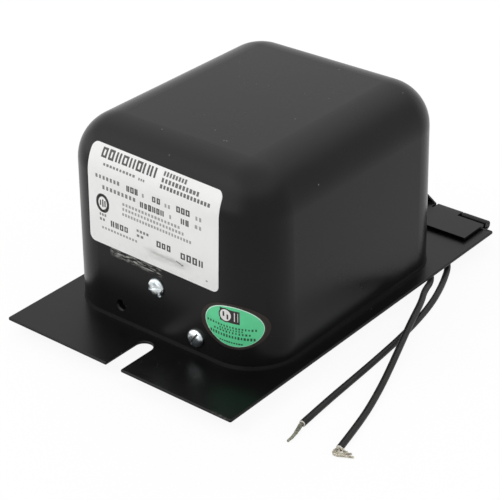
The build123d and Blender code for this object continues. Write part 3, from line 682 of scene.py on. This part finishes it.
def screwTree():
    tree, wish, outward = newTree("slottedScrews", {
        "Head Radius": "Float", "Head Height": "Float", "Slot Width": "Float", "Slot Depth": "Float",
        "Shank Radius": "Float", "Shank Length": "Float", "Finish": "Material"})
    radius, height = wish["Head Radius"], wish["Head Height"]
    ball = addNode(tree, "GeometryNodeMeshUVSphere", {
        "Segments": screws["headSides"], "Rings": screws["headRings"], "Radius": radius})
    place = axes(tree, addNode(tree, "GeometryNodeInputPosition").outputs["Position"])
    # the ball's upper half becomes a full, rounded head, its lower half the seat
    away = sums(tree, "ADD", sums(tree, "MULTIPLY", place["X"], place["X"]),
                sums(tree, "MULTIPLY", place["Y"], place["Y"]))
    share = sums(tree, "DIVIDE", away, sums(tree, "MULTIPLY", radius, radius))
    fall = sums(tree, "SUBTRACT", 1.0, sums(tree, "MULTIPLY", share, share))
    level = sums(tree, "MULTIPLY", sums(tree, "SQRT", sums(tree, "MAXIMUM", fall, 0.0)), height)
    dome = sums(tree, "MULTIPLY", level, sums(tree, "GREATER_THAN", place["Z"], 1e-6))
    joined = addNode(tree, "ShaderNodeCombineXYZ", {"X": place["X"], "Y": place["Y"], "Z": dome})
    shape = addNode(tree, "GeometryNodeSetPosition", {
        "Geometry": ball.outputs["Mesh"], "Position": joined.outputs["Vector"]})
    size = addNode(tree, "ShaderNodeCombineXYZ", {
        "X": wish["Slot Width"], "Y": sums(tree, "MULTIPLY", radius, 3.0),
        "Z": sums(tree, "MULTIPLY", wish["Slot Depth"], 2.0)})
    cutter = addNode(tree, "GeometryNodeMeshCube", {"Size": size.outputs["Vector"]})
    cut = addNode(tree, "GeometryNodeMeshBoolean", {
        0: shape.outputs["Geometry"], 1: lifted(tree, cutter.outputs["Mesh"], height)},
        operation="DIFFERENCE")
    shank = addNode(tree, "GeometryNodeMeshCylinder", {
        "Vertices": screws["shankSides"], "Radius": wish["Shank Radius"], "Depth": wish["Shank Length"]})
    sink = sums(tree, "MULTIPLY", wish["Shank Length"], -0.499)
    whole = addNode(tree, "GeometryNodeJoinGeometry", {"Geometry": cut.outputs["Mesh"]})
    link(tree, lifted(tree, shank.outputs["Mesh"], sink), whole.inputs["Geometry"])
    turn = addNode(tree, "GeometryNodeInputNamedAttribute", {"Name": "screwTurn"}, data_type="FLOAT_VECTOR")
    spread = addNode(tree, "GeometryNodeInstanceOnPoints", {
        "Points": wish["Geometry"], "Instance": whole.outputs["Geometry"],
        "Rotation": turn.outputs["Attribute"]})
    finishTree(tree, spread.outputs["Instances"], wish["Finish"], outward)
    return tree


def screwSeat(x, height, side):
    radius = screws["headDiameter"] / 2
    return Vector((x, caseForm["centre"] + side * (caseForm["depth"] / 2 - (height - radius) * lean),
                   caseForm["foot"] + height))


def makeScrews(finish):
    places, turns = [], []
    for name, side in (("front", -1), ("back", 1)):
        for x, turn in screws["slotTurns"][name].items():
            height = screws["lowHeight"] if x else screws["highHeight"]
            places.append(screwSeat(x, height, side) * mm)
            facing = Vector((0, side, 0)).to_track_quat("Z", "Y").to_matrix()
            turns.append((facing @ Matrix.Rotation(radians(turn), 3, "Z")).to_euler())
    mesh = bpy.data.meshes.new("screwPoints")
    mesh.from_pydata(places, [], [])
    attribute = mesh.attributes.new("screwTurn", "FLOAT_VECTOR", "POINT")
    for item, turn in zip(attribute.data, turns):
        item.vector = turn
    piece = newPiece("slottedScrews", mesh)
    runTree(piece, screwTree(), {
        "Head Radius": screws["headDiameter"] / 2 * mm, "Head Height": screws["headHeight"] * mm,
        "Slot Width": screws["slotWidth"] * mm, "Slot Depth": screws["slotDepth"] * mm,
        "Shank Radius": screws["shankDiameter"] / 2 * mm, "Shank Length": screws["shankLength"] * mm,
        "Finish": finish})
    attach(piece, "base")
    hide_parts("case_screws")


def makeBurr(finish):  # a chip of metal torn up beside the upper front screw
    bm = bmesh.new()
    bmesh.ops.create_icosphere(bm, subdivisions=2, radius=burr["radius"])
    rng = Random(3)
    for vert in bm.verts:
        vert.co *= 1 + rng.uniform(-burr["uneven"], burr["uneven"])
    seat = screwSeat(0, screws["highHeight"], -1)
    place = Matrix.Translation(seat + Vector(burr["shift"])) @ Matrix.Rotation(burr["turn"], 4, "Y")
    shape = Matrix.Scale(mm, 4) @ place @ Matrix.Diagonal(burr["stretch"])
    bmesh.ops.transform(bm, matrix=shape, verts=bm.verts)
    piece = newPiece("screwBurr", meshFrom("screwBurr", bm, 60), finish)
    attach(piece, "base")


screwZinc = plainMetal("screwZinc", (0.84, 0.87, 0.87), (0.22, 0.27, 0.30), 0.2, 700)
makeScrews(screwZinc)
makeBurr(screwZinc)
print("screws done")


# The white label: bare of names, with plain dark blocks where its print was
label = {"width": 74.5, "height": 46.9, "corner": 3.0, "offset": -1.5, "rise": 59.8, "tilt": -1.2,
         "thick": 0.2, "sunk": 0.02, "inkSunk": 0.03, "inkRise": 0.02,
         "ring": (-28.7, -2.9), "ringRadii": (3.2, 3.9), "ringInk": 1.3, "ringSteps": 36,
         "bars": [(-30.0, 2.6), (-28.6, 3.6), (-27.3, 3.0)], "barWidth": 0.75, "startsOutside": 5,
         "columns": 60, "rows": 40, "cornerSteps": 6, "blockWidths": (0.86, 1.08),
         "blockHeights": (0.9, 1.04)}
# a grey rub near the label's lower edge and fainter grime along it: spans, fades, shares and tones
labelWear = {"rubAcross": ((-1, 15), 7), "rubUp": ((49.0, 50.6), 2.2), "rubShare": 0.75,
             "rubTone": (0.40, 0.40, 0.38), "grimeUp": ((43, 47), 4), "grimeShare": 0.35,
             "grimeTone": (0.46, 0.45, 0.42)}
# each line of print: middle height, left and right end, block height, number of blocks, gap share, ink
labelLines = [
    (20.5, -31.0, 1.4, 4.0, 8, 0.2, "dark"), (16.0, -28.7, -9.6, 1.15, 10, 0.34, "soft"),
    (15.7, -8.0, -4.1, 1.15, 3, 0.34, "soft"),
    (21.6, 4.6, 18.0, 1.75, 8, 0.34, "mid"), (19.0, 4.4, 25.8, 1.75, 11, 0.32, "mid"),
    (16.4, 4.2, 32.4, 1.75, 15, 0.32, "mid"),
    (9.9, -32.9, -18.0, 1.9, 7, 0.42, "soft"), (9.3, -14.6, -7.4, 2.9, 3, 0.2, "dark"),
    (8.9, -5.6, -3.9, 1.9, 1, 0.3, "pale"), (9.2, 0.2, 5.4, 2.9, 2, 0.22, "dark"),
    (8.6, 7.2, 11.0, 1.9, 2, 0.4, "pale"), (9.2, 13.9, 21.8, 2.9, 3, 0.22, "dark"),
    (8.4, 24.3, 28.4, 1.9, 2, 0.4, "pale"),
    (5.2, -29.0, -8.8, 1.9, 9, 0.42, "soft"), (4.2, -6.8, 7.3, 2.9, 6, 0.24, "dark"),
    (4.0, 9.9, 11.5, 1.9, 1, 0.3, "pale"), (4.2, 16.3, 21.4, 2.9, 2, 0.22, "dark"),
    (4.3, 24.0, 28.4, 1.9, 2, 0.4, "pale"),
    (0.7, -17.2, 16.3, 1.4, 18, 0.38, "pale"), (-1.7, -17.3, 18.5, 1.4, 20, 0.38, "pale"),
    (-4.3, -17.4, 22.6, 1.4, 24, 0.38, "pale"),
    (-8.6, -31.0, -26.6, 1.3, 3, 0.36, "soft"), (-11.0, -31.0, -27.4, 1.3, 2, 0.36, "soft"),
    (-11.4, -24.5, -13.7, 2.9, 4, 0.22, "dark"), (-9.4, -9.2, -1.6, 1.3, 4, 0.36, "soft"),
    (-11.8, -9.2, -4.6, 1.3, 2, 0.36, "soft"), (-11.8, 2.4, 11.0, 2.9, 3, 0.22, "dark"),
    (-12.7, 15.9, 29.3, 3.3, 4, 0.24, "dark"), (-15.0, -29.9, -8.4, 1.15, 12, 0.36, "pale"),
]
inkTones = {"dark": (0.026, 0.026, 0.025), "mid": (0.085, 0.085, 0.083), "soft": (0.16, 0.16, 0.155),
            "pale": (0.30, 0.30, 0.29)}
# scratches: middle, width, height, ink and tilt; and one faint dot: middle, width, height
labelScratches = [(15.2, -16.7, 2.6, 0.5, "mid", -0.3), (17.2, -17.3, 1.3, 0.7, "soft", 0.2)]
labelDot = (30.9, -19.8, 1.2, 0.9)


def labelSpot(u, v):
    turn = radians(label["tilt"])
    x = label["offset"] + u * cos(turn) - v * sin(turn)
    z = caseForm["foot"] + label["rise"] + u * sin(turn) + v * cos(turn)
    return meetCase(Vector((x, caseFront - label["startsOutside"], z)), Vector((0, 1, 0)))


def roundedRows(width, height, corner, count, cornerSteps):
    rows = []
    for step in range(cornerSteps + 1):
        angle = radians(90 - 90 / cornerSteps * step)
        rows.append((-height / 2 + corner * (1 - sin(angle)), width / 2 - corner * (1 - cos(angle))))
    flat = height / 2 - corner
    rows += [(-flat + 2 * flat * step / count, width / 2) for step in range(1, count)]
    rows += [(-v, w) for v, w in reversed(rows[:cornerSteps + 1])]
    return [(v, -w, w) for v, w in rows]


def labelPaper():
    material, tree, shader = newMaterial("labelPaper")
    place = objectCoords(tree)
    cloud = noise(tree, place, 60, 4, 0.6)
    paper = ramp(tree, cloud, (0.76, 0.76, 0.75), (0.81, 0.81, 0.80))
    where = axes(tree, place)
    rub = sums(tree, "MULTIPLY", window(tree, where["X"], *labelWear["rubAcross"]),
               window(tree, where["Z"], *labelWear["rubUp"]))
    smear = noise(tree, objectCoords(tree, scale=(110, 110, 420), rotation=(0, 0.12, 0)), 1, 4, 0.6)
    rubbed = sums(tree, "MULTIPLY", rub, ramp(tree, smear, 0, 1, 0.36, 0.62), labelWear["rubShare"])
    paper = mixColour(tree, rubbed, paper, labelWear["rubTone"])
    grime = ramp(tree, noise(tree, place, 240, 5, 0.7), 0, 1, 0.5, 0.74)
    edge = window(tree, where["Z"], *labelWear["grimeUp"])
    soiled = sums(tree, "MULTIPLY", edge, grime, labelWear["grimeShare"])
    paper = mixColour(tree, soiled, paper, labelWear["grimeTone"])
    paintWith(tree, shader, paper, ramp(tree, cloud, 0.42, 0.52))
    bump(tree, noise(tree, place, 1200, 2), 0.06, 0.00008, shader)
    return material


def printInk(name, tone, paper=(0.79, 0.79, 0.78)):
    material, tree, shader = newMaterial(name, {"Roughness": 0.5})
    worn = ramp(tree, noise(tree, objectCoords(tree), 1900, 3, 0.6), 0, 0.16, 0.5, 0.75)
    link(tree, mixColour(tree, worn, tone, paper), shader.inputs["Base Color"])
    return material


def makeLabel():
    bm = bmesh.new()
    rows = roundedRows(label["width"], label["height"], label["corner"], label["rows"], label["cornerSteps"])
    skin(bm, rows, label["columns"], labelSpot, -label["sunk"], label["thick"])
    piece = newPiece("whiteLabel", meshFrom("whiteLabel", bm), labelPaper())
    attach(piece, "base")
    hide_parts("rating_label")


def makeLabelPrint():
    bm = bmesh.new()
    inks = list(inkTones)
    rng = Random(11)
    low, high = label["thick"] - label["inkSunk"], label["thick"] + label["inkRise"]
    for v, left, right, height, count, gap, ink in labelLines:
        pitch = (right - left) / count
        for number in range(count):
            width = pitch * (1 - gap) * rng.uniform(*label["blockWidths"])
            tall = height * rng.uniform(*label["blockHeights"])
            kind = rng.choice(["box", "box", "bars"]) if height > 2.5 else "block"
            middle = left + pitch * (number + 0.5)
            printMark(bm, middle, v, width, tall, kind, labelSpot, low, high, inks.index(ink))
    (ringU, ringV), (across, tall), wide = label["ring"], label["ringRadii"], label["ringInk"]
    for step in range(label["ringSteps"]):
        angle = 2 * pi * step / label["ringSteps"]
        block(bm, ringU + across * cos(angle), ringV + tall * sin(angle), wide, wide, labelSpot, low, high,
              inks.index("dark"))
    for u, height in label["bars"]:
        block(bm, u, ringV, label["barWidth"], height, labelSpot, low, high, inks.index("dark"))
    for u, v, width, height, ink, tilt in labelScratches:
        block(bm, u, v, width, height, labelSpot, low, high, inks.index(ink), tilt)
    disc(bm, *labelDot, labelSpot, low, high, inks.index("pale"), 4, 6)
    piece = newPiece("labelPrint", meshFrom("labelPrint", bm))
    for ink in inks:
        piece.data.materials.append(printInk(ink + "Ink", inkTones[ink]))
    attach(piece, "base")


makeLabel()
makeLabelPrint()
print("label done")


# The oval sticker on the front right upright: dark rim, green field, plain marks
sticker = {"width": 31.3, "height": 22.1, "rise": 21.0, "azimuth": 18.0, "tilt": 0.4, "shift": -0.5,
           "fieldWidth": 26.8, "fieldHeight": 19.6, "fieldRise": 0.1, "fieldTilt": -3.2,
           "startsOutside": 40, "markWidths": (0.8, 1.15), "markHeights": (0.85, 1.1),
           "rimLayer": (-0.02, 0.14), "columns": 36, "steps": 44}
stickerFoils = {  # two tones and the gloss of each, in the order of the layers
    "Ring": ((0.006, 0.014, 0.009), (0.008, 0.018, 0.012), 0.36),
    "Pale": ((0.62, 0.80, 0.70), (0.72, 0.86, 0.78), 0.36),
    "Green": ((0.10, 0.60, 0.28), (0.12, 0.66, 0.32), 0.34),
    "Dark": ((0.014, 0.012, 0.012), (0.022, 0.019, 0.018), 0.4),
    "White": ((0.74, 0.72, 0.72), (0.80, 0.79, 0.79), 0.4),
    "Ink": ((0.012, 0.055, 0.026), (0.020, 0.075, 0.038), 0.4),
}
# the three ovals of the field: shift, how much wider and higher than the field, lower and upper lift, foil
stickerOvals = [(0, 0, 1.0, 1.0, 0.10, 0.155, "Ring"), (0, 0, 0.0, 0.0, 0.12, 0.17, "Pale"),
                (0.05, -0.12, -0.45, -0.5, 0.14, 0.185, "Green")]
stickerLayers = {"low": (0.16, 0.197), "middle": (0.17, 0.217), "top": (0.18, 0.227)}
# each mark: middle, width, height, layer, foil and tilt, or round
stickerMarks = [
    (-1.1, 5.0, 9.2, 6.3, "low", "Dark", -0.07), (-3.0, 5.15, 6.6, 6.9, "low", "Dark", "round"),
    (-3.0, 5.15, 5.3, 5.6, "middle", "White", "round"), (1.2, 5.0, 0.4, 4.3, "middle", "White", 0.0),
    (2.7, 4.9, 0.25, 4.3, "middle", "White", 0.0), (-3.9, 5.7, 0.8, 2.4, "top", "Dark", 0.0),
    (-2.0, 4.5, 0.8, 2.4, "top", "Dark", 0.0)]
# each row of marks: left end, right end, block height, number of blocks, gap share
stickerRows = [((-12.6, 0.2), (10.8, -1.0), 1.0, 17, 0.5), ((-6.4, -1.5), (5.1, -1.9), 0.9, 9, 0.5),
               ((-9.2, -2.6), (8.4, -3.4), 1.0, 12, 0.5), ((-11.1, -4.5), (10.2, -5.6), 1.3, 16, 0.4),
               ((-6.3, -7.5), (4.8, -8.2), 0.7, 10, 0.3)]


def stickerSpot(s, t, tilt=0.0):
    facing = radians(sticker["azimuth"])
    turn = radians(tilt)
    along = Vector((cos(facing), sin(facing), 0))
    inward = Vector((-sin(facing), cos(facing), 0))
    centre = Vector((caseForm["width"] / 2 - uprightRadius, caseFront + uprightRadius,
                     caseForm["foot"] + sticker["rise"]))
    start = centre - inward * sticker["startsOutside"]
    place = start + along * (s * cos(turn) - t * sin(turn) + sticker["shift"])
    return meetCase(place + Vector((0, 0, s * sin(turn) + t * cos(turn))), inward)


def foil(name, first, second, roughness, level=0.4):
    material, tree, shader = newMaterial(name, {"Specular IOR Level": level})
    place = objectCoords(tree)
    cloud = noise(tree, place, 180)
    paintWith(tree, shader, ramp(tree, cloud, first, second),
              ramp(tree, cloud, roughness, roughness + 0.08))
    bump(tree, noise(tree, place, 800, 2), 0.05, 0.00006, shader)
    return material


def makeStickerRim():
    bm = bmesh.new()
    tilted = lambda s, t: stickerSpot(s, t, sticker["tilt"])
    disc(bm, 0, 0, sticker["width"], sticker["height"], tilted, *sticker["rimLayer"], 0,
         sticker["columns"], sticker["steps"])
    rim = foil("stickerRim", (0.026, 0.019, 0.017), (0.038, 0.029, 0.026), 0.42, 0.15)
    piece = newPiece("stickerRim", meshFrom("stickerRim", bm), rim)
    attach(piece, "base")
    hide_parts("oval_sticker")


def makeStickerField():
    bm = bmesh.new()
    foils = list(stickerFoils)
    green = lambda s, t: stickerSpot(s, t + sticker["fieldRise"], sticker["fieldTilt"])
    for s, t, wider, higher, low, high, name in stickerOvals:
        disc(bm, s, t, sticker["fieldWidth"] + wider, sticker["fieldHeight"] + higher, green, low, high,
             foils.index(name), sticker["columns"], sticker["steps"])
    for s, t, width, height, layer, name, tilt in stickerMarks:
        low, high = stickerLayers[layer]
        if tilt == "round":
            disc(bm, s, t, width, height, stickerSpot, low, high, foils.index(name), 10, 14)
        else:
            block(bm, s, t, width, height, stickerSpot, low, high, foils.index(name), tilt)
    rng = Random(5)
    low, high = stickerLayers["low"]
    for (s0, t0), (s1, t1), height, count, gap in stickerRows:
        pitch = (s1 - s0) / count
        for number in range(count):
            share = (number + 0.5) / count
            width = pitch * (1 - gap) * rng.uniform(*sticker["markWidths"])
            tall = height * rng.uniform(*sticker["markHeights"])
            block(bm, s0 + (s1 - s0) * share, t0 + (t1 - t0) * share, width, tall, stickerSpot, low, high,
                  foils.index("Ink"))
    piece = newPiece("stickerField", meshFrom("stickerField", bm))
    for name, look in stickerFoils.items():
        piece.data.materials.append(foil("sticker" + name, *look))
    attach(piece, "base")


makeStickerRim()
makeStickerField()
print("sticker done")


# Floor and studio light; each lamp has a place, the height it aims at, a size and a power
studio = {
    "floorSize": 6.0, "floorGrey": 0.9, "ambient": 0.70, "shadowShare": 0.08,
    "lamps": {"keyLamp": ((-0.7, -0.9, 1.3), 0.04, 0.9, 9.0), "fillLamp": ((1.1, 0.3, 0.9), 0.04, 0.9, 3.0),
              "skyLamp": ((-0.55, 0.95, 0.75), 0.06, 1.1, 6.0)},
    "glows": [{"aim": (0, 0, 1), "from": 0.44, "to": 0.86, "strength": 1.15},
              {"aim": (-0.5, -0.84, 0.2), "from": 0.45, "to": 0.98, "strength": 1.5}]}


def cameraOrGloss(tree):
    rays = addNode(tree, "ShaderNodeLightPath").outputs
    return sums(tree, "MAXIMUM", rays["Is Camera Ray"], rays["Is Glossy Ray"], rays["Is Transmission Ray"])


def makeFloor():
    half = studio["floorSize"] / 2
    mesh = bpy.data.meshes.new("studioFloor")
    corners = [(-half, -half, 0), (half, -half, 0), (half, half, 0), (-half, half, 0)]
    mesh.from_pydata(corners, [], [(0, 1, 2, 3)])
    material, tree, shader = newMaterial("floorPaper", {
        "Base Color": rgba(studio["floorGrey"]), "Roughness": 0.9, "Specular IOR Level": 0})
    glow = addNode(tree, "ShaderNodeEmission", {"Strength": 1.0})
    shown = sums(tree, "MULTIPLY", cameraOrGloss(tree), 1 - studio["shadowShare"])
    mix = addNode(tree, "ShaderNodeMixShader", {
        "Fac": shown, 1: shader.outputs["BSDF"], 2: glow.outputs["Emission"]})
    link(tree, mix.outputs["Shader"], tree.nodes["Material Output"].inputs["Surface"])
    newPiece("studioFloor", mesh, material)


def glowToward(tree, direction, light):  # a soft bright part of the room, seen only in reflections
    facing = vectorSums(tree, "DOT_PRODUCT", direction, Vector(light["aim"]).normalized(), "Value")
    return spanned(tree, facing, light["from"], light["to"], 0.0, light["strength"], "SMOOTHSTEP")


def makeWorld():  # an even pale room, brighter overhead and at the front left
    world = bpy.data.worlds.new("studioWorld")
    bpy.context.scene.world = world
    world.use_nodes = True
    tree = world.node_tree
    surround = tree.nodes["Background"]
    surround.inputs["Color"].default_value = rgba(1)
    direction = addNode(tree, "ShaderNodeTexCoord").outputs["Generated"]
    glossy = addNode(tree, "ShaderNodeLightPath").outputs["Is Glossy Ray"]
    glows = sums(tree, "ADD", *[glowToward(tree, direction, light) for light in studio["glows"]])
    even = spanned(tree, cameraOrGloss(tree), 0.0, 1.0, studio["ambient"], 1.0)
    link(tree, sums(tree, "ADD", even, sums(tree, "MULTIPLY", glows, glossy)), surround.inputs["Strength"])


def makeLamp(name, place, aimHeight, size, power):
    data = bpy.data.lights.new(name, "AREA")
    data.shape = "DISK"
    data.size = size
    data.energy = power
    lamp = bpy.data.objects.new(name, data)
    lamp.visible_glossy = False
    lamp.location = place
    lamp.rotation_euler = (Vector((0, 0, aimHeight)) - Vector(place)).to_track_quat("-Z", "Y").to_euler()
    bpy.context.scene.collection.objects.link(lamp)


makeFloor()
makeWorld()
for name, lamp in studio["lamps"].items():
    makeLamp(name, *lamp)
print("studio done")
